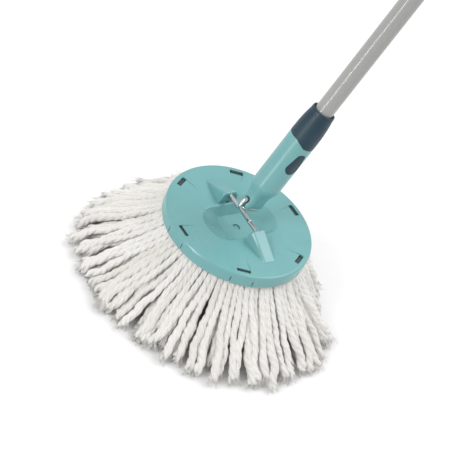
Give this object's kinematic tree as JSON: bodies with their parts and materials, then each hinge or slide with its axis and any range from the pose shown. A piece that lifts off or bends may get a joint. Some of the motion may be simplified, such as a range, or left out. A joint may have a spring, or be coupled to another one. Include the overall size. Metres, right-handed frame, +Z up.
{
  "type": "spin mop",
  "caption": "Push-to-spin floor mop: a round plate with a skirt of twisted cotton yarn on a bent-wire universal joint, under a two-part tubular handle with a click button.",
  "frame": {"origin": "on the handle's axis, at the middle of the hand grip", "axes": "+Z up with the mop head lying level; the handle leans 14 degrees from +Z towards +X; +Y along the wire's axis in the plate and along the hanging hole"},
  "size_m": [0.4605, 0.336, 1.2468],
  "materials": {
    "turquoise_plastic": "satin moulded, fine texture",
    "dark_blue_plastic": "satin moulded",
    "silver_grey_paint": "semi-gloss paint on steel tube",
    "bright_wire": "polished bent wire",
    "spring_steel": "rolled strip",
    "inner_plastic": "plain moulded",
    "grip_rubber": "matt, finely ribbed",
    "cotton_yarn": "twisted cotton yarn, raw white",
    "ring_plastic": "plain moulded"
  },
  "bodies": {
    "upper_handle": {"upper_tube": "silver_grey_paint", "handle_grip": "grip_rubber", "end_cap": "dark_blue_plastic", "strip_anchor": "inner_plastic", "anchor_pin": "spring_steel", "drive_strip": "spring_steel", "strip_stop": "spring_steel", "guide_bush": "dark_blue_plastic"},
    "lock_collar": {"lock_collar": "dark_blue_plastic"},
    "carriage": {"carriage_ring": "inner_plastic"},
    "lower_handle": {"lower_tube": "silver_grey_paint", "drive_housing": "inner_plastic", "drive_nut": "inner_plastic", "drive_cap": "inner_plastic", "tube_adapter": "dark_blue_plastic", "handle_sleeve": "turquoise_plastic", "button_spring": "spring_steel"},
    "release_button": {"click_button": "dark_blue_plastic"},
    "pivot_wire": {"joint_wire": "bright_wire"},
    "mop_plate": {"top_plate": "turquoise_plastic", "wire_keepers": "turquoise_plastic"},
    "mop_refill": {"refill_ring": "ring_plastic", "clamp_ring": "ring_plastic", "strands_outer": "cotton_yarn", "strands_middle": "cotton_yarn", "strands_inner": "cotton_yarn"}
  },
  "joints": [
    {"name": "lock_turn", "type": "hinge", "parent": "upper_handle", "child": "lock_collar", "pos_m": [-0.14685, 0, -0.58897], "axis": [0.2419, 0, 0.9703], "range_deg": [0, 60]},
    {"name": "handle_push", "type": "slide", "parent": "upper_handle", "child": "carriage", "axis": [0.2419, 0, 0.9703], "range_m": [0, 0.2]},
    {"name": "head_spin", "type": "hinge", "parent": "carriage", "child": "lower_handle", "pos_m": [-0.25571, 0, -1.0256], "axis": [0.2419, 0, 0.9703], "range_deg": [-1, 361]},
    {"name": "button_press", "type": "slide", "parent": "lower_handle", "child": "release_button", "axis": [0.1685, 0.9848, -0.042], "range_m": [0, 0.002], "stiffness_N_per_m": 600},
    {"name": "head_swing", "type": "hinge", "parent": "lower_handle", "child": "pivot_wire", "pos_m": [-0.25015, 0, -1.00329], "axis": [0.9703, 0, -0.2419], "range_deg": [-45, 45]},
    {"name": "plate_tilt", "type": "hinge", "parent": "pivot_wire", "child": "mop_plate", "pos_m": [-0.25571, 0, -1.0256], "axis": [0, 1, 0], "range_deg": [-61, 89]},
    {"name": "refill_release", "type": "slide", "parent": "mop_plate", "child": "mop_refill", "axis": [0, 0, -1], "range_m": [0, 0.03]}
  ],
  "couplings": [
    {"joint": "head_spin", "follows": "handle_push", "rad_per_m": 31.416}
  ]
}
